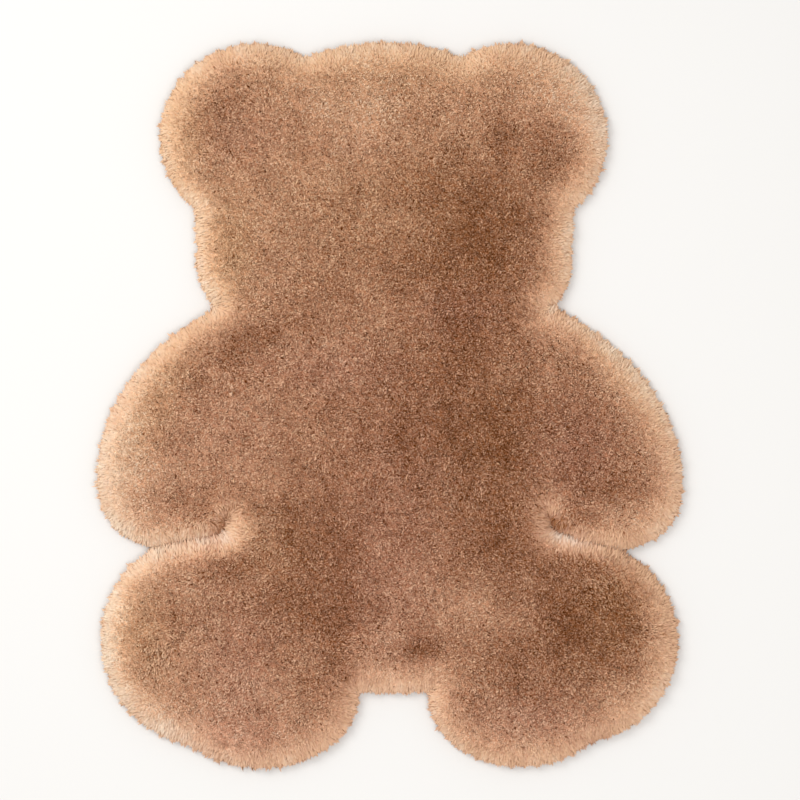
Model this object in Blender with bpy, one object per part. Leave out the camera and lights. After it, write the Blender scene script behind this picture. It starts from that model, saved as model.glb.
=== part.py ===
"""A plush rug cut to the outline of a bear, lying flat on the floor, head towards +Y.

The rug is one soft slab. Its outline is a few rounded lobes run together, with a slit cut between each
arm and leg. The pile domes over at the rim, where it parts into small pointed locks.
"""

import math
import random
from collections import namedtuple

import bmesh
import bpy
import numpy as np
from mathutils import Matrix, Vector
from mathutils.geometry import delaunay_2d_cdt

MM = 0.001

# ---- Driving sizes, in millimetres ----
PILE_HEIGHT = 25.0  # floor to the tips of the pile, away from the rim
LOBE_BLEND = 9.0  # how far one lobe rounds into the next
SLIT_BLEND = 6.0  # rounding where a slit opens out of the rim
ARM_HEM_Y = -201.0  # the arms end here, just above the slits
ARM_HEM_BLEND = 75.0  # rounding of the arms' lower corners
RIM_STEP = 10.0  # spacing of points along the rim where it runs straight
RIM_TURN = math.radians(24)  # a bend this sharp takes as many points as one RIM_STEP
LEAST_EDGE = 1.2  # points of one ring that come closer than this become one
INSET_STEP = 2.0  # rings are worked inwards from the rim by steps of this
TOP_SPACING = 23.0  # spacing of the points that carry the lumps
UNDERSIDE_SPACING = 70.0
LOCK_REACH = (3.5, 6.5)  # shortest and longest lock
LOCK_TIP_SHARE = 0.3  # a lock's tip against its root
TIGHT_NOTCH = math.radians(-10)  # a rim that turns inwards more than this in one step grows no lock
SLIT_CLEAR = 12.0  # no lock grows nearer than this to a slit's middle

FUR_COLOUR = (0.46, 0.26, 0.15, 1.0)

Lobe = namedtuple("Lobe", "name x y across along tilt")
Nap = namedtuple("Nap", "name x y length width tilt rise")
RimRing = namedtuple("RimRing", "inset height")
LockRow = namedtuple("LockRow", "band first every most_lean most_droop")
SlitPoint = namedtuple("SlitPoint", "x y half_gap")

# Middle, half widths across and along the rug, and tilt in degrees.
LOBES = (
    Lobe("head", -8, 268, 262, 236, 0),
    Lobe("left ear", -187, 374, 131, 128, 0),
    Lobe("right ear", 169, 373, 131, 129, 0),
    Lobe("left cheek", -184, 199, 83, 82, 0),
    Lobe("right cheek", 168, 199, 83, 83, 0),
    Lobe("belly", 0, -186, 312, 212, 0),
    Lobe("left haunch", -252, -325, 148, 147, 0),
    Lobe("right haunch", 259, -327, 140, 139, 0),
    Lobe("left foot", -180, -401, 134, 101, -1),
    Lobe("right foot", 185, -399, 130, 101, 4),
)
SHOULDERS = Lobe("shoulders and arms", 0, -102, 405, 290, -1.6)

# Each slit starts outside the rim and ends inside, curling up towards the armpit.
SLITS = {
    "left": (
        SlitPoint(-420, -205, 7.0),
        SlitPoint(-338, -201, 6.0),
        SlitPoint(-312, -194, 3.5),
        SlitPoint(-271, -187, 3.0),
        SlitPoint(-243, -182, 4.5),
        SlitPoint(-231, -174, 4.5),
        SlitPoint(-227, -158, 2.5),
    ),
    "right": (
        SlitPoint(420, -210, 7.0),
        SlitPoint(335, -206, 6.0),
        SlitPoint(307, -198, 3.5),
        SlitPoint(262, -188, 3.0),
        SlitPoint(238, -180, 4.5),
        SlitPoint(226, -172, 4.5),
        SlitPoint(221, -154, 2.5),
    ),
}

# Section through the rim, from the floor up: inset from the outermost line, and height.
RIM = (
    RimRing(6.0, 0.0),
    RimRing(0.0, 5.0),
    RimRing(2.5, 13.0),
    RimRing(10.0, 20.0),
    RimRing(24.0, 24.0),
)

# Rows of locks: the band of the rim that they grow from, counted from the floor, the faces they use, and
# the most that a tip bends along the rim and hangs below its root.
LOCK_ROWS = (
    LockRow(band=1, first=0, every=2, most_lean=2.0, most_droop=3.0),
    LockRow(band=2, first=1, every=4, most_lean=0.5, most_droop=1.5),
)

# Where the pile lies brushed down or stands up: a soft trough or swelling each.
NAP = (
    Nap("left ear hollow", -255, 405, 75, 40, 60, -2.5),
    Nap("right ear hollow", 245, 360, 85, 45, 100, -2.5),
    Nap("brow to right ear", 135, 395, 90, 35, 95, -2.0),
    Nap("forehead", -30, 390, 130, 50, 5, 1.5),
    Nap("face", -90, 250, 150, 80, 20, 1.5),
    Nap("sweep across the neck", 110, 230, 190, 55, -42, -2.5),
    Nap("right of the chest", 175, -10, 150, 50, 80, -2.0),
    Nap("chest", -90, 60, 160, 70, 10, 1.5),
    Nap("left arm", -300, -30, 110, 55, 65, 1.5),
    Nap("left shoulder", -190, 60, 80, 40, 35, -1.5),
    Nap("right hand", 335, -105, 70, 50, 110, -2.5),
    Nap("left flank", -150, -170, 90, 45, -30, -1.5),
    Nap("belly", 30, -80, 120, 80, 90, 1.0),
    Nap("seat", 60, -265, 120, 60, 15, 1.5),
    Nap("left thigh", -70, -295, 90, 45, -50, -2.0),
    Nap("right thigh", 325, -285, 100, 55, 20, -2.5),
    Nap("left foot", -230, -370, 120, 70, -25, 1.5),
    Nap("right foot", 170, -400, 110, 60, 10, 1.5),
)
RIPPLE_HEIGHT = 1.2
RIPPLE_LENGTHS = ((93, 170), (-130, 110), (75, -210))  # wavelengths along X and Y


def clear_scene():
    for obj in list(bpy.data.objects):
        bpy.data.objects.remove(obj, do_unlink=True)


def rotated(points, middle, tilt):
    """Points relative to a middle, in axes turned by tilt degrees."""
    turn = math.radians(tilt)
    axes = np.array(((math.cos(turn), -math.sin(turn)), (math.sin(turn), math.cos(turn))))
    return (points - np.array(middle)) @ axes


def ellipse_field(points, lobe):
    """Distance outside a lobe's edge, negative inside, nearly true close to the edge."""
    off_middle = 1e-6  # the formula has no value at the very middle
    local = rotated(points, (lobe.x, lobe.y), lobe.tilt) + off_middle
    radii = np.array((lobe.across, lobe.along))
    reach = np.linalg.norm(local / radii, axis=1)
    slope = np.linalg.norm(local / radii**2, axis=1)
    return reach * (reach - 1) / slope


def blended_union(field, other, blend):
    overlap = np.maximum(blend - np.abs(field - other), 0) / blend
    return np.minimum(field, other) - overlap**2 * blend / 4


def blended_cut(field, cutter, blend):
    return -blended_union(-field, cutter, blend)


def slit_field(points, slit):
    """Distance outside a slit that follows a line of points and widens from one to the next."""
    nearest = np.full(len(points), np.inf)
    for start, end in zip(slit[:-1], slit[1:]):
        a = np.array((start.x, start.y))
        run = np.array((end.x, end.y)) - a
        share = np.clip((points - a) @ run / (run @ run), 0, 1)
        half_gap = start.half_gap + share * (end.half_gap - start.half_gap)
        gap = np.linalg.norm(points - a - share[:, None] * run, axis=1) - half_gap
        nearest = np.minimum(nearest, gap)
    return nearest


def outline_field(points):
    """Distance outside the rug's rim, in millimetres, negative on the rug."""
    below_arms = points[:, 1] - ARM_HEM_Y
    field = blended_cut(ellipse_field(points, SHOULDERS), below_arms, ARM_HEM_BLEND)
    for lobe in LOBES:
        field = blended_union(field, ellipse_field(points, lobe), LOBE_BLEND)
    for slit in SLITS.values():
        field = blended_cut(field, slit_field(points, slit), SLIT_BLEND)
    return field


def outline_slope(points):
    """The field's gradient, which points out of the rug."""
    step = 0.05
    rise = []
    for offset in ((step, 0), (0, step)):
        rise.append(outline_field(points + offset) - outline_field(points - np.array(offset)))
    return np.stack(rise, axis=1) / (2 * step)


def onto_level(points, level):
    """Moves each point one step along the gradient, to where the field has this level."""
    slope = outline_slope(points)
    miss = outline_field(points) - level
    return points - (miss / (slope**2).sum(axis=1))[:, None] * slope


def inset_points(points, inset):
    """Moves points in from the rim in steps, so that they never cross each other."""
    count = math.ceil(inset / INSET_STEP) + 1
    for reached in np.linspace(0, inset, count):
        points = onto_level(points, -reached)
    return onto_level(points, -inset)


def rim_heading(point):
    """Unit vector along the rim, with the rug on its left."""
    out = outline_slope(point)[0]
    return np.array((-out[1], out[0])) / np.linalg.norm(out)


def traced_rim():
    """Points once round the rim, counter-clockwise, with shorter strides where it bends."""
    head = LOBES[0]
    start = inset_points(np.array(((head.x, head.y + head.along),), float), inset=0)
    heading = rim_heading(start)
    trail = [start[0]]
    shortest, longest = 0.2, 4.0
    stride = longest
    most_turn = math.radians(12)
    while True:
        after = onto_level(trail[-1][None] + stride * heading, 0)
        turned = rim_heading(after)
        if turned @ heading < math.cos(most_turn) and stride > shortest:
            stride /= 2
            continue
        well_away = len(trail) > 10
        if well_away and np.linalg.norm(after[0] - trail[0]) < longest:
            return np.array(trail)
        trail.append(after[0])
        heading = turned
        stride = min(stride * 1.5, longest)


def rim_points():
    """Points round the rim, closer together where it bends."""
    trail = traced_rim()
    run = np.roll(trail, -1, axis=0) - trail
    heading = np.unwrap(np.arctan2(run[:, 1], run[:, 0]))
    turn = np.abs(np.diff(heading, append=heading[0] + 2 * math.pi))
    cost = np.linalg.norm(run, axis=1) / RIM_STEP + turn / RIM_TURN
    reached = np.concatenate(((0,), np.cumsum(cost)))
    count = 2 * round(reached[-1] / 2)
    wanted = np.arange(count) * reached[-1] / count
    closed = np.concatenate((trail, trail[:1]))
    return np.stack([np.interp(wanted, reached, closed[:, k]) for k in (0, 1)], axis=1)


def lumps(points):
    """How far the pile stands above or below its even height."""
    height = np.zeros(len(points))
    for nap in NAP:
        local = rotated(points, (nap.x, nap.y), nap.tilt) / (nap.length, nap.width)
        height += nap.rise * np.exp(-2 * (local**2).sum(axis=1))
    for lengths in RIPPLE_LENGTHS:
        waves = (points / lengths).sum(axis=1)
        height += RIPPLE_HEIGHT / len(RIPPLE_LENGTHS) * np.sin(2 * math.pi * waves)
    return height


def hex_lattice(spacing, inset):
    """Points in rows over the rug, kept this far inside its rim."""
    reach = 520.0
    row_gap = spacing * math.sqrt(3) / 2
    rows = []
    for row, y in enumerate(np.arange(-reach, reach, row_gap)):
        x = np.arange(-reach, reach, spacing) + (row % 2) * spacing / 2
        rows.append(np.stack((x, np.full(len(x), y)), axis=1))
    points = np.concatenate(rows)
    return points[outline_field(points) < -inset]


def add_verts(bm, points, heights):
    return [bm.verts.new((x * MM, y * MM, z * MM)) for (x, y), z in zip(points, heights)]


def add_ring(bm, points, heights):
    """The ring's vertices, one for each point, where points that nearly meet share a vertex."""
    ring = []
    for vert in add_verts(bm, points, heights):
        if ring and (vert.co - ring[-1].co).length < LEAST_EDGE * MM:
            bm.verts.remove(vert)
            vert = ring[-1]
        ring.append(vert)
    return ring


def join_rings(bm, lower, upper):
    """A band of faces between two rings, facing out, with None where both rings share their vertices."""
    band = []
    for i in range(len(lower)):
        after = (i + 1) % len(lower)
        corners = list(dict.fromkeys((lower[i], lower[after], upper[after], upper[i])))
        band.append(bm.faces.new(corners) if len(corners) > 2 else None)
    return band


def fill_ring(bm, ring, inner_points, inner_heights, facing_up):
    """Triangles across a ring, through points inside it."""
    ring = list(dict.fromkeys(ring))
    verts = ring + add_verts(bm, inner_points, inner_heights)
    flat = [Vector(vert.co[:2]) for vert in verts]
    ring_edges = [(i, (i + 1) % len(ring)) for i in range(len(ring))]
    inside_only = 1
    found = delaunay_2d_cdt(flat, ring_edges, [], inside_only, 1e-7)
    triangles, sources = found[2], found[3]
    for triangle in triangles:
        corners = [verts[sources[k][0]] for k in triangle]
        bm.faces.new(corners if facing_up else corners[::-1])


def grow_lock(bm, face, row, draw):
    """Draws one face of the rim out into a tapered, drooping lock."""
    normal = face.normal.copy()
    out = Vector((normal.x, normal.y, 0)).normalized()
    along = Vector((-out.y, out.x, 0))
    reach = draw.uniform(*LOCK_REACH)
    lean = draw.uniform(-row.most_lean, row.most_lean)
    droop = draw.uniform(row.most_droop / 3, row.most_droop)
    tip = bmesh.ops.extrude_discrete_faces(bm, faces=[face])["faces"][0]
    middle = tip.calc_center_median()
    shrink = Matrix.Diagonal((LOCK_TIP_SHARE,) * 3)
    bmesh.ops.transform(bm, matrix=shrink.to_4x4(), space=Matrix.Translation(-middle), verts=tip.verts)
    move = (out * reach + along * lean - Vector((0, 0, droop))) * MM
    bmesh.ops.translate(bm, vec=move, verts=tip.verts)


def roomy_steps(rim):
    """For each step of the rim, whether a lock has room there, clear of tight notches and slits."""
    run = np.roll(rim, -1, axis=0) - rim
    heading = np.arctan2(run[:, 1], run[:, 0])
    turn = (heading - np.roll(heading, 1) + math.pi) % (2 * math.pi) - math.pi
    opening = np.minimum(turn, np.roll(turn, -1))
    middles = rim + run / 2
    from_slit = np.min([slit_field(middles, slit) for slit in SLITS.values()], axis=0)
    return (opening > TIGHT_NOTCH) & (from_slit > SLIT_CLEAR)


def grow_locks(bm, bands, roomy):
    draw = random.Random(7)
    for row in LOCK_ROWS:
        for i in range(row.first, len(roomy), row.every):
            face = bands[row.band][i]
            if roomy[i] and face is not None and len(face.verts) == 4:
                grow_lock(bm, face, row, draw)


def rug_mesh():
    bm = bmesh.new()
    rim = inset_points(rim_points(), inset=0)
    rings = []
    for ring in RIM:
        points = inset_points(rim, ring.inset)
        lump_share = ring.height / RIM[-1].height
        rings.append(add_ring(bm, points, ring.height + lump_share * lumps(points)))
    bands = [join_rings(bm, lower, upper) for lower, upper in zip(rings[:-1], rings[1:])]
    top = hex_lattice(TOP_SPACING, RIM[-1].inset + TOP_SPACING / 2)
    fill_ring(bm, rings[-1], top, PILE_HEIGHT + lumps(top), facing_up=True)
    under = hex_lattice(UNDERSIDE_SPACING, RIM[0].inset + UNDERSIDE_SPACING / 2)
    fill_ring(bm, rings[0], under, np.zeros(len(under)), facing_up=False)
    bm.normal_update()
    grow_locks(bm, bands, roomy_steps(rim))
    mesh = bpy.data.meshes.new("rug")
    bm.to_mesh(mesh)
    bm.free()
    return mesh


def centred(mesh):
    """Puts the rug's box over the origin, with its underside on the floor."""
    corners = np.array([vert.co for vert in mesh.vertices])
    middle = (corners.min(axis=0) + corners.max(axis=0)) / 2
    mesh.transform(Matrix.Translation((-middle[0], -middle[1], -corners[:, 2].min())))


def fur_material():
    material = bpy.data.materials.new("caramel fur")
    material.use_nodes = True
    shader = material.node_tree.nodes["Principled BSDF"]
    shader.inputs["Base Color"].default_value = FUR_COLOUR
    shader.inputs["Roughness"].default_value = 0.9
    shader.inputs["Metallic"].default_value = 0.0
    shader.inputs["Sheen Weight"].default_value = 0.4
    return material


def build():
    clear_scene()
    parts = bpy.data.collections.new("bear rug")
    bpy.context.scene.collection.children.link(parts)
    mesh = rug_mesh()
    centred(mesh)
    mesh.materials.append(fur_material())
    mesh.shade_smooth()
    parts.objects.link(bpy.data.objects.new("rug", mesh))


if __name__ == "__main__":
    build()
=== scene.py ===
"""The looks of the bear shaped rug: its fur, strand by strand, over an under-fur dark with painted
shade. The fur's tones carry painted light and shade as well.

Lengths are in metres, in the frame's axes: X to the right, Y towards the head, and the floor at Z = 0.
A tone is 0 for the darkest brown of the fur and 1 for its palest cream. A hue is 0 for golden fur and 1
for rosy fur. A pair of sizes or shares is for the rim and for the fur away from it, unless its comment
says otherwise, and a range is the least and the most that a strand may draw at random.
"""

import math
from collections import namedtuple

import bmesh
import bpy
import numpy as np
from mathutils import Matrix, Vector


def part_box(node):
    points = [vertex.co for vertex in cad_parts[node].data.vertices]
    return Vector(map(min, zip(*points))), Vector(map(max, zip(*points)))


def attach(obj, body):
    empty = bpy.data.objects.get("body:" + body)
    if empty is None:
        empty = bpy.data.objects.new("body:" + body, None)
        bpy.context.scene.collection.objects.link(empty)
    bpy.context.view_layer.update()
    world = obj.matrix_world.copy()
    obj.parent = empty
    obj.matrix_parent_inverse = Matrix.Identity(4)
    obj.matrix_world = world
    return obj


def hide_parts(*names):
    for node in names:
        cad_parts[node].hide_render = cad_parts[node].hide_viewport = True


MM = 0.001

# ---- Camera: straight above the rug ----
VIEW_WIDTH = 1.108  # what the picture takes in, at the height of the fur
VIEW_MIDDLE = (0.0146, 0.0081)
CAMERA_HEIGHT = 4.0
SENSOR_WIDTH = 36.0  # in millimetres, as Blender counts it

# ---- Floor and light ----
FLOOR_SIDE = 12.0
FLOOR_COLOUR = (232, 230, 227)
FLOOR_ROUGHNESS = 0.9
DAYLIGHT = 0.62  # the even light from all round

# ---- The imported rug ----
ON_FLOOR = 0.01 * MM  # what is lower lies on the floor, and vertices nearer than this are one
FLOOR_INSET = 6 * MM  # how far the line on the floor lies inside the outermost line
RIM_ROUNDING = 34 * MM  # the fur turns from lying outwards to standing over this distance
GRID_STEP = 2.5 * MM
GRID_MARGIN = 30 * MM
LAST_CELL = 1.001  # keeps the places that are read inside the grid's last cell
LEAST_SLOPE = 1e-9

# ---- Fur ----
FUR_PIECES = ("fur_ears", "fur_face", "fur_chest", "fur_belly", "fur_feet")
FUR_SEED = 3
SCATTER_SEED = 5
LOCK_SPACING = 3.11 * MM
TRIED_PER_SQUARE_METRE = 4.0e5  # points drawn before those nearer than the spacing are dropped
STRANDS_PER_LOCK = 6
STRAND_LENGTH = (14 * MM, 15 * MM)
DEPTH_RANGE = (0.85, 1.05)  # how deep a strand is rooted, against that length
STRAND_WIDTH = (2.3 * MM, 2.0 * MM)
WIDTH_RANGE = (0.7, 1.2)  # against that width
WIDEST_AT = (0.72, 0.78)  # of the way from root to tip
STRAND_BOW = 0.4 * MM  # how far a strand's widest place stands off the line from its root to its tip
BOW_RANGE = (0.6, 1.4)  # against that bow
DROOP = 0.12  # more bow, against the length, as a strand lies down
ROLL = 0.35  # how unevenly strands are rolled about their length
ROOT_SPREAD = 1.5 * MM  # strands of one lock stand this far apart at their roots
TIP_SPREAD = (1.6 * MM, 2.0 * MM)
UNEVEN_TIPS = (1.8 * MM, 3 * MM)  # the shortest strand of a lock ends this far below the longest
LEAST_HEIGHT = 0.4 * MM

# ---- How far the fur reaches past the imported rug, and how it leans ----
RIM_REACH = 2.0 * MM
RIM_EVENING = 3 * MM  # fur rooted this far inside the outermost line still ends beyond it
TOP_REACH = 0.8 * MM
UNEVEN_REACH = 0.35 * MM  # from lock to lock
RIM_LEAN = math.radians(80)
RIM_LEAN_CURVE = 1.3  # above 1, the lean begins slowly away from the rim
LOW_LEAN = math.radians(45)  # more lean, for fur rooted on the floor
LOW_HEIGHT = 12 * MM  # fur rooted this high has none of that
BRUSHED_LEAN = 0.12  # sideways for one upwards
BRUSHED_WAVELENGTH = 90 * MM
BRUSHED_SEEDS = (21, 22)
STRAY_LEAN = 0.12
LOOSE_AT_RIM = 0.75  # of the brushed and the stray lean, at the rim

# ---- The slits between arms and legs ----
SLIT_LOOK = 9 * MM  # another edge is looked for this far beyond an edge
SLIT_FADE = 5 * MM  # how gradually a slit ends at its mouth
SLIT_LEAN = 0.9  # of the lean at the rim
SLIT_LEAN_WIDTH = 15 * MM  # fur this near to a slit leans over it
SLIT_REACH = 9 * MM  # more reach, where a leg's fur lies across a slit
ARM_REACH = 0.4  # of that, where an arm's fur does
SLIT_TONE = 0.12  # how much paler a leg's fur is there

# ---- Under-fur ----
UNDERFUR_SHARE = (0.95, 0.71)  # its height against the rug's
UNDERFUR_INSET = 2.2 * MM
SLIT_BRIDGE = 8.5 * MM  # how far it fills a slit from each side
SLIT_DEPTH = 15 * MM  # how far in from an edge its sides move
UNDERFUR_SKIRT = 10 * MM  # they move less and less below this height
# painted shade: how much darker the under-fur is than the fur over it
UNDERFUR_PAINTED_SHADE = -0.67
LEAST_UNDERFUR_PAINTED_SHADE = 0.4  # of that, in the calmest fur
UNDERFUR_RIM_PAINTED_SHADE = -0.50  # more painted shade, at the rim, where it shows from the side alone
UNDERFUR_RIM_WIDTH = 9 * MM
UNDERFUR_SPECKLE = 1.05  # how much paler its palest specks are
UNDERFUR_GRAIN = 620  # specks to the metre
UNDERFUR_ROUGHNESS = (0.8, 1.0)  # in its hollows, and on its specks
UNDERFUR_BUMP = 0.6
UNDERFUR_BUMP_HEIGHT = 2 * MM

# ---- Tones and hues ----
MEAN_TONE = 0.455
MEAN_HUE = 0.6
RIM_PAINTED_LIGHT = 0.30  # painted rim light: how much paler the fur is at the rim
RIM_PAINTED_LIGHT_WIDTH = 50 * MM
EDGE_PAINTED_LIGHT = 0.07  # more painted rim light, over the last few millimetres
EDGE_PAINTED_LIGHT_WIDTH = 5 * MM
SIDE_TONE = -0.36  # how much darker fur rooted on the floor is
SIDE_HEIGHT = 15 * MM  # fur rooted this high is no darker
ROOT_PAINTED_SHADE = -0.42  # painted shade deep in the pile: a strand is darker at its root and its widest place than at its tip
WIDEST_PAINTED_SHADE = -0.10
TIP_TONE = 0.08
LOCK_TONE = 0.02  # how unevenly locks are pale or dark
STRAND_TONE = 0.20  # most strands are a little paler than their lock, and a few are much darker
STRAND_HUE = 0.16  # how unevenly strands are golden or rosy
HUE_ENDS = (0.02, 0.98)  # no strand is more golden or rosier
CONTRAST = (1.40, 0.60)  # how strongly strands differ, in the darkest fur and in the palest
CALM_WIDTH = 45 * MM  # nearer than this to the rim, the fur's unevenness fades
LEAST_CALM = 0.08

# ---- How strands catch the light ----
FACING_JITTER = 0.28  # how unevenly they face
EDGE_TURN = 0.22  # how differently a strand's two edges face
LEAST_EDGE_TURN = 0.15  # of that, in the calmest fur
BENEATH_TURN = 1.3  # a strand's lower side faces this much further out than the strand leans
BENEATH_MOST = math.radians(110)
ROLL_TURN = 1.5  # how soon the upper side of a rolled strand faces as that of a level one does

# ---- The map that carries the strands' tones and hues ----
BAKE_MAP = "OFBake"
MAP_WIDTH = 0.0015  # keeps a strand's faces from being lines on the map
MAP_ENDS = (0.002, 0.998)  # the strands stay inside the map's edges

# ---- Unevenness ----
PATCH_FALL = 1.2  # how steeply a patch fades from its middle
NOISE_WAVES = 24
NOISE_RANGE = (0.7, 1.4)  # the waves' lengths, against the wavelength asked for

Patch = namedtuple("Patch", "name x y length width tilt amount")
Ripple = namedtuple("Ripple", "wavelength tone seed")

# Painted light and shade: where brushed fur leans towards the light or away from it, where light falls
# more on the left half and on parts of the rim, and where shadows fall by the slits and the floor shows
# through them, the fur is painted lighter or darker. Middle, half length and half width in millimetres,
# tilt in degrees, and tone.
PAINTED_LIGHT_AND_SHADE = (
    # painted light: the left half is lit more
    Patch("left half", -170, -20, 520, 230, 90, 0.09),
    Patch("left arm", -275, -45, 180, 90, 75, 0.06),
    Patch("head", 0, 340, 260, 170, 0, 0.073),
    Patch("left arm, outer", -366, -92, 120, 55, 90, 0.172),
    Patch("left breast", -185, 10, 70, 55, 0, 0.04),
    Patch("chest, left", -85, 90, 90, 45, -20, 0.06),
    Patch("forehead", -40, 410, 100, 70, 0, 0.155),
    Patch("brow", 10, 360, 110, 45, 0, 0.03),
    Patch("brow, right", 115, 410, 60, 45, 0, 0.05),
    Patch("left temple", -100, 460, 32, 26, 0, -0.11),
    Patch("mid brow", -15, 412, 45, 22, 0, 0.05),
    Patch("eye line, left", -55, 334, 35, 28, 0, 0.04),
    Patch("left of the face", -150, 285, 110, 80, 90, 0.06),
    Patch("left cheek, outer", -268, 216, 80, 25, 90, 0.05),
    Patch("right cheek, outer", 250, 216, 80, 30, 90, 0.10),
    Patch("middle of the face", 25, 255, 60, 30, 10, 0.07),
    Patch("chest, middle", -5, 130, 55, 40, 0, 0.08),
    Patch("left foot", -235, -380, 115, 85, -25, 0.11),
    Patch("left leg", -305, -300, 75, 65, 0, 0.01),
    Patch("left leg, outer", -388, -330, 100, 32, 90, 0.16),
    Patch("left foot, outer", -325, -440, 70, 35, -45, 0.13),
    Patch("left foot, lower", -194, -488, 100, 22, 0, -0.04),
    Patch("left sole", -145, -435, 45, 30, 0, 0.05),
    Patch("left foot, inner", -95, -463, 32, 24, 45, -0.08),
    Patch("notch, left corner", -50, -386, 28, 20, 0, -0.12),
    Patch("above the notch", 25, -350, 80, 40, 0, 0.11),
    Patch("over the notch", 10, -382, 60, 16, 0, -0.03),
    Patch("belly, low left", 35, -250, 75, 30, 80, 0.10),
    Patch("belly, low right", 112, -277, 60, 55, 0, 0.19),
    Patch("belly, far right", 180, -298, 45, 22, 0, 0.08),
    Patch("belly, middle", -17, -193, 45, 22, 90, 0.08),
    Patch("right foot", 195, -437, 115, 45, 0, 0.08),
    Patch("right ear, top", 218, 436, 80, 50, 0, 0.165),
    Patch("right ear, outer", 285, 396, 85, 38, 90, 0.12),
    Patch("beside the right ear", 122, 345, 65, 26, 90, 0.08),
    Patch("under the right ear", 221, 313, 32, 20, 0, -0.08),
    Patch("right shoulder, outer", 330, 62, 100, 36, -50, 0.13),
    Patch("right arm, outer", 380, -50, 130, 42, 95, 0.06),
    Patch("right foot, outer", 332, -396, 38, 26, 0, 0.13),
    Patch("right elbow", 332, -5, 28, 26, 0, 0.05),
    # painted shade along the arm's edge over the slit
    Patch("right hand, above the slit", 268, -172, 60, 18, -8, -0.09),
    Patch("right hand, lower", 333, -150, 50, 28, 0, 0.13),
    Patch("left ear hollow", -238, 413, 28, 24, 0, -0.10),
    Patch("sweep across the neck", 110, 258, 125, 85, -45, -0.10),
    Patch("neck", 48, 188, 40, 35, 0, -0.05),
    Patch("right ear, inner", 148, 382, 50, 16, 90, -0.13),
    Patch("right ear hollow", 236, 354, 45, 36, 0, -0.065),
    Patch("right of the face", 153, 243, 100, 70, 90, -0.08),
    Patch("right of the chest", 110, 90, 100, 60, 90, -0.09),
    Patch("right of the belly", 155, -75, 100, 58, 90, -0.13),
    Patch("right breast", 145, 36, 45, 25, 0, 0.05),
    Patch("chest, low", 42, -30, 90, 75, 0, -0.06),
    Patch("left shoulder", -222, 75, 80, 55, 35, -0.15),
    Patch("collar, left", -165, 110, 100, 28, 10, -0.09),
    Patch("midriff", 42, -54, 22, 28, 0, -0.06),
    Patch("left wrist", -312, -102, 38, 30, 0, 0.07),
    # painted shade along the arm's edge over the slit, and its painted shadow at the slit's inner end
    Patch("left hand, above the slit", -258, -165, 55, 18, 8, -0.06),
    Patch("left slit, inner end", -234, -168, 24, 10, 60, -0.45),
    Patch("left slit, lobe", -203, -152, 22, 28, 0, 0.08),
    # painted shadow of the arm's edge at the slit's inner end
    Patch("right slit, inner end", 230, -160, 20, 8, 136, -0.36),
    Patch("left cheek, lower", -244, 225, 22, 28, 0, -0.13),
    Patch("left armpit", -228, 119, 30, 18, 0, -0.05),
    Patch("right slit, lower side", 236, -196, 34, 18, -10, 0.12),
    Patch("left slit, lower side", -285, -198, 40, 10, 8, -0.09),
    # painted light, where the pale floor shows through the slits
    Patch("left slit, streak", -245, -186, 24, 9, 5, 0.10),
    Patch("right slit, streak", 250, -187, 36, 9, -12, 0.26),
    Patch("above the left hip", -194, -186, 24, 24, 0, -0.08),
    Patch("left of the forehead", -108, 366, 22, 40, 0, -0.08),
    Patch("right cheek, low", 184, 138, 30, 34, 0, -0.08),
    Patch("left knee, upper", -312, -220, 35, 25, 0, 0.06),
    Patch("right armpit, low", 166, -165, 18, 18, 0, 0.05),
    Patch("left hand", -332, -130, 50, 25, 0, 0.05),
    Patch("left thigh", -311, -248, 30, 22, 0, 0.06),
    Patch("left thigh, middle", -205, -278, 60, 20, 8, -0.04),
    Patch("left foot, side", -298, -407, 35, 25, 0, 0.05),
    Patch("seat, upper left", -3, -324, 22, 20, 0, 0.12),
    Patch("seat, upper right", 76, -317, 22, 22, 0, 0.05),
    Patch("right foot, tip", 294, -469, 28, 12, 0, -0.16),
    Patch("right thigh, outer", 352, -250, 42, 12, -45, -0.08),
    Patch("under the right ear, inner", 177, 321, 18, 22, 0, 0.09),
    Patch("right ear, middle", 222, 398, 30, 18, 0, 0.05),
    Patch("right ear, crown", 229, 445, 30, 20, 0, 0.04),
    Patch("forehead, middle", -42, 385, 25, 20, 0, -0.04),
    Patch("beside the sweep", 62, 320, 25, 45, 0, -0.05),
    Patch("left palm", -250, -137, 100, 28, 0, -0.20),
    Patch("left knee", -240, -226, 70, 26, 0, -0.16),
    Patch("left flank", -110, -190, 80, 75, 0, -0.15),
    Patch("left hip", -125, -283, 85, 35, 0, -0.08),
    Patch("left of the notch", -72, -352, 80, 36, 90, -0.19),
    Patch("seat", 42, -338, 48, 24, 5, -0.32),
    Patch("right flank", 190, -180, 80, 58, 20, -0.17),
    Patch("right thigh", 285, -285, 90, 75, 0, -0.15),
    Patch("right knee", 275, -214, 75, 24, -8, -0.14),
    Patch("right foot, inner", 153, -394, 60, 28, 0, -0.02),
    Patch("right palm", 310, -115, 70, 28, 5, -0.09),
    Patch("right heel", 280, -466, 60, 24, 10, -0.09),
)

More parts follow.
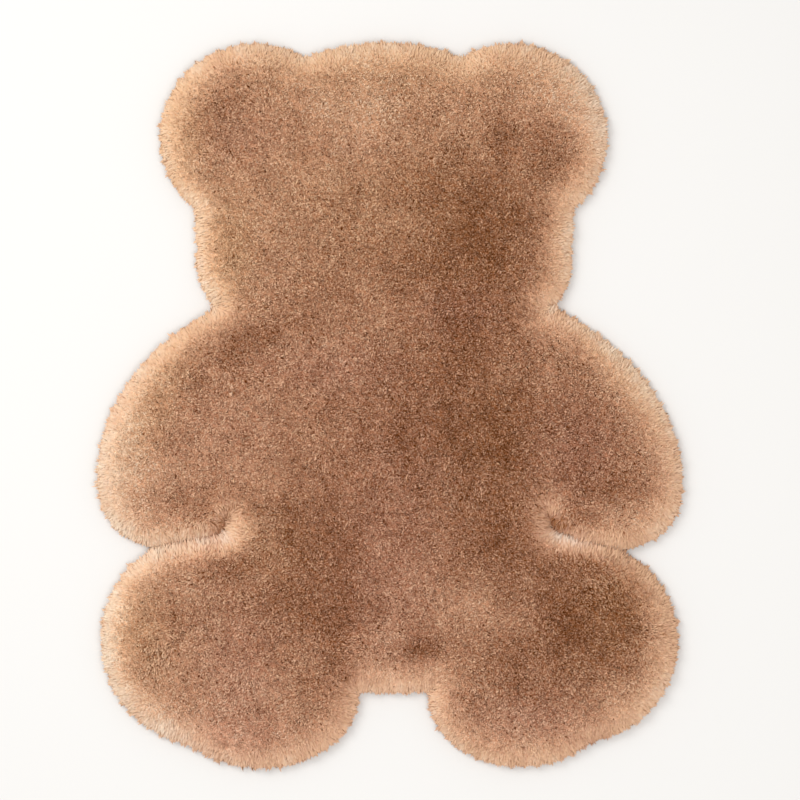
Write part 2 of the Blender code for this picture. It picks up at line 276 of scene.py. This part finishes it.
# Where the fur is rosier (above 0) or more golden (below it): places as above, and hue.
HUES = (
    Patch("head", 0, 290, 270, 150, 0, -0.28),
    Patch("crown", 0, 475, 300, 50, 0, -0.30),
    Patch("left ear, edge", -290, 380, 40, 110, 0, -0.40),
    Patch("left cheek, edge", -225, 215, 40, 85, 0, -0.45),
    Patch("left ear", -200, 370, 60, 40, 0, 0.15),
    Patch("brow", -42, 358, 60, 26, 0, 0.15),
    Patch("middle of the rug", 0, -213, 85, 200, 0, 0.30),
    Patch("chest, left", -80, 52, 90, 40, 0, 0.25),
    Patch("chest, right", 97, 133, 60, 35, 0, 0.28),
    Patch("left arm", -220, -33, 80, 80, 0, 0.10),
    Patch("left arm, outer", -325, 10, 130, 40, 65, -0.35),
    Patch("right arm", 262, -60, 60, 75, 0, 0.35),
    Patch("right shoulder", 330, 40, 90, 40, -50, -0.20),
    Patch("torso, right", 138, -33, 80, 50, 90, -0.12),
    Patch("left flank", -178, -190, 55, 65, 0, -0.18),
    Patch("left leg, inner", -208, -380, 60, 110, 0, 0.32),
    Patch("left leg, outer", -350, -310, 50, 80, 0, -0.35),
    Patch("left foot", -222, -463, 130, 40, 0, 0.25),
    Patch("right foot", 194, -435, 90, 40, 0, 0.32),
    Patch("right leg", 318, -283, 70, 90, 0, -0.25),
    # the lilac of the painted light where the floor shows through the slits
    Patch("left slit, streak", -245, -186, 26, 10, 5, 0.6),
    Patch("right slit, streak", 250, -187, 36, 10, -12, 0.6),
)

# Where the fur is more or less uneven than elsewhere at that distance from the rim: places as above, and
# how much of its unevenness is added.
GRAINY = (
    Patch("above the left slit", -268, -152, 60, 32, 8, 0.6),
    Patch("below the left slit", -262, -222, 60, 28, 0, 0.3),
    Patch("above the right slit", 270, -152, 60, 32, -8, 0.6),
    Patch("below the right slit", 262, -225, 60, 30, 0, 0.6),
    Patch("left arm, outer", -380, -68, 105, 30, 90, -0.3),
)

# Unevenness with no place of its own.
RIPPLES = (
    Ripple(70 * MM, 0.020, 11),
    Ripple(26 * MM, 0.017, 12),
    Ripple(11 * MM, 0.015, 13),
)


def between(ends, share):
    """From the first of two values, where the share is 0, to the second, where it is 1."""
    first, second = ends
    return first + (second - first) * share


def unit(vectors):
    return vectors / np.linalg.norm(vectors, axis=1)[:, None]


def tilted(outward, angle):
    """Directions that lean by an angle from upright towards outward ones on the floor."""
    return np.column_stack((np.sin(angle)[:, None] * outward, np.cos(angle)))


def added(name, data):
    """A new object in the scene."""
    thing = bpy.data.objects.new(name, data)
    bpy.context.scene.collection.objects.link(thing)
    return thing


# ---- Meshes ----


def welded(mesh):
    """A mesh for editing, with the vertices that share a place made one."""
    bm = bmesh.new()
    bm.from_mesh(mesh)
    bmesh.ops.remove_doubles(bm, verts=bm.verts, dist=ON_FLOOR)
    return bm


def lies_flat(face):
    return max(vert.co.z for vert in face.verts) < ON_FLOOR


def underside_edges(mesh):
    """The edges of the flat underside, as pairs of points on the floor."""
    bm = welded(mesh)
    flat = {face for face in bm.faces if lies_flat(face)}
    edges = [edge for edge in bm.edges if sum(face in flat for face in edge.link_faces) == 1]
    ends = np.array([[vert.co[:2] for vert in edge.verts] for edge in edges])
    bm.free()
    return ends


def visible_skin(mesh):
    """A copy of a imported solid's mesh without its flat underside."""
    bm = bmesh.new()
    bm.from_mesh(mesh)
    bmesh.ops.delete(bm, geom=[face for face in bm.faces if lies_flat(face)], context="FACES")
    skin = bpy.data.meshes.new("skin")
    bm.to_mesh(skin)
    bm.free()
    return skin


def coordinates(mesh):
    """Where a mesh's vertices are, a row each."""
    values = np.empty(len(mesh.vertices) * 3)
    mesh.vertices.foreach_get("co", values)
    return values.reshape(-1, 3)


# ---- Fields over the floor ----


def inside_ellipse(points, patch):
    """1 at a patch's middle, falling off smoothly across its half length and width."""
    turn = math.radians(patch.tilt)
    axes = np.array(((math.cos(turn), -math.sin(turn)), (math.sin(turn), math.cos(turn))))
    local = (points / MM - (patch.x, patch.y)) @ axes / (patch.length, patch.width)
    return np.exp(-PATCH_FALL * (local**2).sum(axis=1))


def patched(points, patches, start=0):
    """What the patches add up to at places on the floor, from a starting value."""
    return sum((patch.amount * inside_ellipse(points, patch) for patch in patches), start)


def soft_noise(points, wavelength, seed):
    """Smooth random waves, mostly between -1 and 1, with bumps about half a wavelength wide."""
    draw = np.random.default_rng(seed)
    heading = draw.uniform(0, 2 * math.pi, NOISE_WAVES)
    pitch = 2 * math.pi / (wavelength * draw.uniform(*NOISE_RANGE, NOISE_WAVES))
    phase = draw.uniform(0, 2 * math.pi, NOISE_WAVES)
    along = points @ np.stack((np.cos(heading), np.sin(heading))) * pitch
    return np.sin(along + phase).sum(axis=1) / math.sqrt(NOISE_WAVES / 2)


class RimField:
    """How far places on the floor lie inside the rug's outermost line, read from a grid."""

    def __init__(self, edges):
        self.low = edges.min(axis=(0, 1)) - GRID_MARGIN
        size = edges.max(axis=(0, 1)) + GRID_MARGIN - self.low
        counts = np.ceil(size / GRID_STEP).astype(int) + 1
        x, y = (low + GRID_STEP * np.arange(count) for low, count in zip(self.low, counts))
        points = np.stack(np.meshgrid(x, y, indexing="ij"), axis=-1).reshape(-1, 2)
        nearest = np.full(len(points), np.inf)
        within = np.zeros(len(points), bool)
        for start, end in edges:
            run = end - start
            share = np.clip((points - start) @ run / (run @ run), 0, 1)
            gap = points - start - share[:, None] * run
            nearest = np.minimum(nearest, (gap**2).sum(axis=1))
            level = (points[:, 1] > start[1]) != (points[:, 1] > end[1])
            if run[1]:
                crossing = start[0] + (points[:, 1] - start[1]) * run[0] / run[1]
                within ^= level & (points[:, 0] < crossing)
        distance = np.where(within, 1, -1) * np.sqrt(nearest) + FLOOR_INSET
        self.inside_grid = distance.reshape(counts)
        self.slope_grid = np.stack(np.gradient(self.inside_grid, GRID_STEP), axis=-1)

    def read(self, grid, points):
        at = np.clip((points - self.low) / GRID_STEP, 0, np.array(grid.shape[:2]) - LAST_CELL)
        cell = at.astype(int)
        i, j = cell.T
        share = (at - cell).reshape(at.shape + (1,) * (grid.ndim - 2))
        s, t = share[:, 0], share[:, 1]
        lower = grid[i, j] * (1 - s) + grid[i + 1, j] * s
        upper = grid[i, j + 1] * (1 - s) + grid[i + 1, j + 1] * s
        return lower * (1 - t) + upper * t

    def inside(self, points):
        return self.read(self.inside_grid, points)

    def outward(self, points):
        slope = -self.read(self.slope_grid, points)
        return slope / np.maximum(np.linalg.norm(slope, axis=1), LEAST_SLOPE)[:, None]


def slit_share(rim, floor, inside, outward):
    """1 where another edge of the rug lies just across a slit, and 0 along the open rim."""
    beyond = rim.inside(floor + outward * (SLIT_LOOK + np.maximum(inside, 0))[:, None])
    return np.clip((beyond + SLIT_LOOK) / SLIT_FADE, 0, 1)


def painted_rim_light(inside):
    """Painted rim light: how much paler the fur is for being near the rim."""
    within = np.maximum(inside, 0)
    return RIM_PAINTED_LIGHT * np.exp(-within / RIM_PAINTED_LIGHT_WIDTH) + EDGE_PAINTED_LIGHT * np.exp(-within / EDGE_PAINTED_LIGHT_WIDTH)


def tone_at(points, inside):
    """The fur's tone at places on the floor, with its painted light and shade."""
    tone = patched(points, PAINTED_LIGHT_AND_SHADE, MEAN_TONE)
    for ripple in RIPPLES:
        tone += ripple.tone * soft_noise(points, ripple.wavelength, ripple.seed)
    return tone + painted_rim_light(inside)


def hue_at(points):
    """The fur's hue at places on the floor."""
    return MEAN_HUE + patched(points, HUES)


def calm_at(points, inside):
    """How much of its unevenness the fur has: 1 well inside, and little at the open rim."""
    return np.clip(inside / CALM_WIDTH + patched(points, GRAINY), LEAST_CALM, 1)


# ---- Fur ----


def scatter_nodes():
    """Geometry nodes that turn a mesh into evenly scattered points on its faces."""
    tree = bpy.data.node_groups.new("scatter", "GeometryNodeTree")
    for in_out in ("INPUT", "OUTPUT"):
        tree.interface.new_socket("Geometry", in_out=in_out, socket_type="NodeSocketGeometry")
    taken = tree.nodes.new("NodeGroupInput")
    scatter = tree.nodes.new("GeometryNodeDistributePointsOnFaces")
    scatter.distribute_method = "POISSON"
    scatter.inputs["Distance Min"].default_value = LOCK_SPACING
    scatter.inputs["Density Max"].default_value = TRIED_PER_SQUARE_METRE
    scatter.inputs["Seed"].default_value = SCATTER_SEED
    as_verts = tree.nodes.new("GeometryNodePointsToVertices")
    given = tree.nodes.new("NodeGroupOutput")
    tree.links.new(taken.outputs[0], scatter.inputs["Mesh"])
    tree.links.new(scatter.outputs["Points"], as_verts.inputs["Points"])
    tree.links.new(as_verts.outputs["Mesh"], given.inputs[0])
    return tree


def scattered_points(mesh):
    """Where the fur's locks are rooted: points spread evenly over a mesh."""
    source = added("skin", mesh)
    modifier = source.modifiers.new("scatter", "NODES")
    modifier.node_group = scatter_nodes()
    points = coordinates(source.evaluated_get(bpy.context.evaluated_depsgraph_get()).to_mesh())
    bpy.data.objects.remove(source)
    return points


Locks = namedtuple("Locks", "tips growth facing beneath length fray uneven width widest tone hue calm")


def fur_locks(anchors, rim, draw):
    """What a lock's strands share: where its tip is, which way it grows, its sizes and its tone."""
    floor = anchors[:, :2]
    inside = rim.inside(floor)
    outward = rim.outward(floor)
    standing = np.clip(inside / RIM_ROUNDING, 0, 1)
    near_rim = (1 - standing) ** RIM_LEAN_CURVE
    low_down = np.clip(1 - anchors[:, 2] / LOW_HEIGHT, 0, 1)
    on_side = np.clip(1 - anchors[:, 2] / SIDE_HEIGHT, 0, 1)
    on_leg = np.clip(outward[:, 1], 0, 1)
    across = slit_share(rim, floor, inside, outward) * np.clip(1 - inside / SLIT_LEAN_WIDTH, 0, 1)

    angle = RIM_LEAN * np.maximum(near_rim, SLIT_LEAN * across) + LOW_LEAN * low_down
    brushed = [soft_noise(floor, BRUSHED_WAVELENGTH, seed) for seed in BRUSHED_SEEDS]
    loose = np.stack(brushed, axis=1) * BRUSHED_LEAN + draw.normal(0, STRAY_LEAN, (len(floor), 2))
    growth = tilted(outward, angle)
    growth[:, :2] += loose * between((1, LOOSE_AT_RIM), near_rim)[:, None]
    growth = unit(growth)

    over_slit = SLIT_REACH * across * between((ARM_REACH, 1), on_leg)
    past_line = near_rim**2 * np.clip(inside, 0, RIM_EVENING)
    reach = between((TOP_REACH, RIM_REACH), near_rim) + (over_slit + past_line)
    reach += draw.normal(0, UNEVEN_REACH, len(floor))

    tone = tone_at(floor, inside)
    calm = calm_at(floor, inside) * between(CONTRAST, np.clip(tone, 0, 1))
    tone = tone + SLIT_TONE * across * on_leg + SIDE_TONE * on_side
    tone += calm * draw.normal(0, LOCK_TONE, len(floor))
    return Locks(
        tips=anchors + growth * reach[:, None],
        growth=growth,
        facing=tilted(outward, angle / 2),
        beneath=tilted(outward, np.minimum(BENEATH_TURN * angle, BENEATH_MOST)),
        length=between(STRAND_LENGTH, standing) + reach,
        fray=between(TIP_SPREAD, standing),
        uneven=between(UNEVEN_TIPS, standing),
        width=between(STRAND_WIDTH, standing),
        widest=between(WIDEST_AT, standing),
        tone=tone,
        hue=hue_at(floor),
        calm=calm,
    )


def strands(locks, draw):
    """Each strand's root, widest place, half width there, tip, both sides' normals, tones and hue."""
    locks = Locks(*(np.repeat(values, STRANDS_PER_LOCK, axis=0) for values in locks))
    count = len(locks.tips)
    roots = locks.tips - locks.growth * (locks.length * draw.uniform(*DEPTH_RANGE, count))[:, None]
    roots += draw.normal(0, ROOT_SPREAD, (count, 3))
    ends = locks.tips - locks.growth * (locks.uneven * draw.uniform(0, 1, count))[:, None]
    ends += draw.normal(0, 1, (count, 3)) * locks.fray[:, None]

    run = unit(ends - roots)
    up = np.array((0, 0, 1.0))
    bow = up + draw.normal(0, ROLL, (count, 3))
    bow = unit(bow - (bow * run).sum(axis=1)[:, None] * run)
    drooping = DROOP * locks.length * (1 - locks.growth[:, 2])
    middles = roots + (ends - roots) * locks.widest[:, None]
    middles += bow * (STRAND_BOW * draw.uniform(*BOW_RANGE, count) + drooping)[:, None]
    beside = np.cross(run, bow)
    half_width = beside * (locks.width / 2 * draw.uniform(*WIDTH_RANGE, count))[:, None]

    jitter = draw.normal(0, FACING_JITTER, (count, 3)) * locks.calm[:, None]
    aside = EDGE_TURN * beside * between((LEAST_EDGE_TURN, 1), locks.calm)[:, None]
    level = np.clip(0.5 + ROLL_TURN * bow[:, 2], 0, 1)[:, None]
    sides = [between((locks.beneath, locks.facing), share) + jitter for share in (level, 1 - level)]
    normals = [np.stack((side, side + aside, side - aside, side), axis=1) for side in sides]

    tone = locks.tone + locks.calm * STRAND_TONE * (1 - draw.exponential(1, count))
    painted_shade_along_strand = np.array((ROOT_PAINTED_SHADE, WIDEST_PAINTED_SHADE, WIDEST_PAINTED_SHADE, TIP_TONE))
    tones = tone[:, None] + locks.calm[:, None] * painted_shade_along_strand
    hue = np.clip(locks.hue + draw.normal(0, STRAND_HUE, count), *HUE_ENDS)
    return roots, middles, half_width, ends, *normals, tones, hue


def strand_mesh(name, roots, middles, half_width, ends, normals, normals_beneath, tones, hue):
    """Closed slivers, each from a root over two corners side by side at its widest place to a tip."""
    count = len(roots)
    verts = np.stack((roots, middles + half_width, middles - half_width, ends), axis=1)
    verts[:, :, 2] = np.maximum(verts[:, :, 2], LEAST_HEIGHT)
    root, left, right, tip = range(4)
    upper = np.array(((root, left, right), (tip, right, left)))
    lower = np.array(((root, tip, left), (root, right, tip)))
    faces = np.concatenate((upper, lower))
    corner_verts = (np.arange(count)[:, None, None] * verts.shape[1] + faces).ravel()
    mesh = bpy.data.meshes.new(name)
    mesh.vertices.add(count * verts.shape[1])
    mesh.vertices.foreach_set("co", verts.ravel())
    mesh.loops.add(len(corner_verts))
    mesh.loops.foreach_set("vertex_index", corner_verts)
    mesh.polygons.add(count * len(faces))
    mesh.polygons.foreach_set("loop_start", np.arange(count * len(faces)) * 3)
    mesh.update(calc_edges=True)
    mesh.shade_smooth()
    corner_normals = np.concatenate((normals[:, upper], normals_beneath[:, lower]), axis=1)
    mesh.normals_split_custom_set(unit(corner_normals.reshape(-1, 3)))
    across_map = np.array((0, 1, -1, 0)) * MAP_WIDTH
    on_map = np.stack((tones, hue[:, None] + across_map), axis=-1).reshape(-1, 2)
    on_map = np.clip(on_map, *MAP_ENDS)
    mesh.uv_layers.new(name=BAKE_MAP).uv.foreach_set("vector", on_map[corner_verts].ravel())
    return mesh


def fur_objects(anchors, rim):
    """The fur, from the ears down to the feet, in pieces with about as many strands each."""
    draw = np.random.default_rng(FUR_SEED)
    anchors = anchors[np.argsort(-anchors[:, 1], kind="stable")]
    made = strands(fur_locks(anchors, rim, draw), draw)
    material = fur_material()
    pieces = []
    for name, share in zip(FUR_PIECES, np.array_split(np.arange(len(made[0])), len(FUR_PIECES))):
        mesh = strand_mesh(name, *(values[share] for values in made))
        mesh.materials.append(material)
        pieces.append(added(name, mesh))
    return pieces


# ---- Under-fur ----


def underfur_object(node, rim):
    """A soft slab inside the fur, dark with painted shade, on the rug's own underside: the solid, lower
    and narrower.
    """
    bm = welded(node.data)
    mesh = bpy.data.meshes.new("underfur")
    bm.to_mesh(mesh)
    bm.free()
    places = coordinates(mesh)
    floor = places[:, :2].copy()
    inside = rim.inside(floor)
    outward = rim.outward(floor)
    within = np.maximum(inside, 0)
    near_edge = np.exp(-within / SLIT_DEPTH)
    across = slit_share(rim, floor, inside, outward) * near_edge
    inset = between((UNDERFUR_INSET, -SLIT_BRIDGE), across)
    raised = np.clip(places[:, 2] / UNDERFUR_SKIRT, 0, 1)
    places[:, :2] -= outward * (inset * raised * near_edge)[:, None]
    places[:, 2] *= between(UNDERFUR_SHARE, np.clip(inside / RIM_ROUNDING, 0, 1))
    mesh.vertices.foreach_set("co", places.ravel())

    tone = tone_at(floor, inside)
    # painted shade: the under-fur stands for the shaded depth of the pile
    painted_shade = UNDERFUR_PAINTED_SHADE * between((LEAST_UNDERFUR_PAINTED_SHADE, 1), calm_at(floor, inside))
    painted_shade += UNDERFUR_RIM_PAINTED_SHADE * (1 - across) * np.exp(-within / UNDERFUR_RIM_WIDTH)
    for name, values in (("tone", tone + painted_shade), ("hue", hue_at(floor))):
        mesh.attributes.new(name, "FLOAT", "POINT").data.foreach_set("value", values)
    mesh.update()
    mesh.shade_smooth()
    mesh.materials.clear()
    mesh.materials.append(underfur_material())
    return added("underfur", mesh)


# ---- Materials ----


def srgb(red, green, blue):
    """Blender's linear colour for one given as 0 to 255."""
    linear = [((c / 255 + 0.055) / 1.055) ** 2.4 for c in (red, green, blue)]
    return (*linear, 1.0)


WARM_FUR = (
    (0.0, 103, 53, 10),
    (0.25, 164, 111, 68),
    (0.5, 213, 167, 128),
    (0.75, 242, 200, 158),
    (1.0, 255, 233, 202),
)
ROSY_FUR = (
    (0.0, 101, 50, 16),
    (0.25, 162, 105, 73),
    (0.5, 211, 159, 132),
    (0.75, 241, 194, 162),
    (1.0, 255, 229, 207),
)

GLOSS_TINT = srgb(210, 140, 84)
GLOSS = {"Specular IOR Level": 0.1, "Specular Tint": GLOSS_TINT}
SHEEN = {"Sheen Weight": 0.05, "Sheen Roughness": 0.5, "Sheen Tint": GLOSS_TINT}
FUR_ROUGHNESS = 0.8


def shaded(name, look):
    """A new material, with its shader's sockets set as `look` says."""
    material = bpy.data.materials.new(name)
    material.use_nodes = True
    for socket, value in look.items():
        material.node_tree.nodes["Principled BSDF"].inputs[socket].default_value = value
    return material, material.node_tree.nodes, material.node_tree.links


def colour_ramp(nodes, stops):
    """A colour ramp through (place, red, green, blue) stops."""
    ramp = nodes.new("ShaderNodeValToRGB")
    elements = ramp.color_ramp.elements
    while len(elements) < len(stops):
        elements.new(0.5)
    for element, (place, *colour) in zip(elements, stops):
        element.position = place
        element.color = srgb(*colour)
    return ramp


def fur_colour(nodes, links, tone, hue):
    """The colour for a tone and a hue."""
    mix = nodes.new("ShaderNodeMix")
    mix.data_type = "RGBA"
    links.new(hue, mix.inputs["Factor"])
    for stops, end in ((WARM_FUR, "A"), (ROSY_FUR, "B")):
        ramp = colour_ramp(nodes, stops)
        links.new(tone, ramp.inputs["Fac"])
        side = next(socket for socket in mix.inputs if socket.name == end and socket.type == "RGBA")
        links.new(ramp.outputs["Color"], side)
    return next(socket for socket in mix.outputs if socket.type == "RGBA")


def fur_material():
    """The strands' material: a place on their map is a tone and a hue."""
    material, nodes, links = shaded("fur", {**GLOSS, **SHEEN, "Roughness": FUR_ROUGHNESS})
    on_map = nodes.new("ShaderNodeUVMap")
    on_map.uv_map = BAKE_MAP
    split = nodes.new("ShaderNodeSeparateXYZ")
    links.new(on_map.outputs["UV"], split.inputs[0])
    colour = fur_colour(nodes, links, split.outputs["X"], split.outputs["Y"])
    links.new(colour, nodes["Principled BSDF"].inputs["Base Color"])
    return material


def attribute(nodes, name):
    """A value that a mesh's vertices carry."""
    node = nodes.new("ShaderNodeAttribute")
    node.attribute_name = name
    return node.outputs["Fac"]


def underfur_material():
    """The under-fur's material: specks on the tone and the hue that its vertices carry."""
    material, nodes, links = shaded("under-fur", GLOSS)
    shader = nodes["Principled BSDF"]
    place = nodes.new("ShaderNodeTexCoord")
    noise = nodes.new("ShaderNodeTexNoise")
    noise.inputs["Scale"].default_value = UNDERFUR_GRAIN
    noise.inputs["Detail"].default_value = 1
    links.new(place.outputs["Object"], noise.inputs["Vector"])
    speckle = nodes.new("ShaderNodeMath")
    speckle.operation = "MULTIPLY_ADD"
    speckle.inputs[1].default_value = UNDERFUR_SPECKLE
    links.new(noise.outputs["Fac"], speckle.inputs[0])
    links.new(attribute(nodes, "tone"), speckle.inputs[2])
    colour = fur_colour(nodes, links, speckle.outputs[0], attribute(nodes, "hue"))
    links.new(colour, shader.inputs["Base Color"])
    rough = nodes.new("ShaderNodeMapRange")
    for end, value in zip(("To Min", "To Max"), UNDERFUR_ROUGHNESS):
        rough.inputs[end].default_value = value
    links.new(noise.outputs["Fac"], rough.inputs["Value"])
    links.new(rough.outputs["Result"], shader.inputs["Roughness"])
    bump = nodes.new("ShaderNodeBump")
    bump.inputs["Strength"].default_value = UNDERFUR_BUMP
    bump.inputs["Distance"].default_value = UNDERFUR_BUMP_HEIGHT
    links.new(noise.outputs["Fac"], bump.inputs["Height"])
    links.new(bump.outputs["Normal"], shader.inputs["Normal"])
    return material


# ---- Camera, floor and light ----


def add_camera():
    data = bpy.data.cameras.new("camera")
    above_fur = CAMERA_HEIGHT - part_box("rug")[1].z
    data.sensor_width = SENSOR_WIDTH
    data.lens = SENSOR_WIDTH * above_fur / VIEW_WIDTH
    camera = added("camera", data)
    camera.location = (*VIEW_MIDDLE, CAMERA_HEIGHT)
    bpy.context.scene.camera = camera


def add_floor():
    bm = bmesh.new()
    bmesh.ops.create_grid(bm, x_segments=1, y_segments=1, size=FLOOR_SIDE / 2)
    mesh = bpy.data.meshes.new("floor")
    bm.to_mesh(mesh)
    bm.free()
    look = {"Base Color": srgb(*FLOOR_COLOUR), "Roughness": FLOOR_ROUGHNESS}
    material, _, _ = shaded("pale floor", look)
    mesh.materials.append(material)
    floor = added("floor", mesh)


def add_softbox(name, location, side, watts):
    """A square soft light that is aimed at the middle of the floor."""
    data = bpy.data.lights.new(name, "AREA")
    data.shape = "SQUARE"
    data.size = side
    data.energy = watts
    lamp = added(name, data)
    lamp.location = location
    lamp.rotation_euler = (-Vector(location)).to_track_quat("-Z", "Y").to_euler()
    lamp.visible_camera = False


def add_light():
    world = bpy.data.worlds.new("studio")
    world.use_nodes = True
    background = world.node_tree.nodes["Background"]
    background.inputs["Color"].default_value = (1.0, 1.0, 1.0, 1.0)
    background.inputs["Strength"].default_value = DAYLIGHT
    bpy.context.scene.world = world
    bpy.context.scene.view_settings.view_transform = "Standard"
    add_softbox("key", (-1.8, 1.2, 2.8), side=1.8, watts=50)
    add_softbox("overhead", (0.6, -0.8, 3.4), side=2.4, watts=46)


# ---- Assembly ----


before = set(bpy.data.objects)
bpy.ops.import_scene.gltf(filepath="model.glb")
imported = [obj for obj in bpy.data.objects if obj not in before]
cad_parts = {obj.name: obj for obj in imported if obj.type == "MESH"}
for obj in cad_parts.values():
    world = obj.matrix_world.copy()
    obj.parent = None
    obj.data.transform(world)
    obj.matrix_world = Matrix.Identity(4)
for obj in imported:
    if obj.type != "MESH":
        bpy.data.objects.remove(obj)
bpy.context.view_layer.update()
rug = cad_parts["rug"]
add_camera()
add_floor()
add_light()
rim_field = RimField(underside_edges(rug.data))
underfur = underfur_object(rug, rim_field)
fur = fur_objects(scattered_points(visible_skin(rug.data)), rim_field)
for piece in (underfur, *fur):
    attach(piece, "root")
    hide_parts("rug")
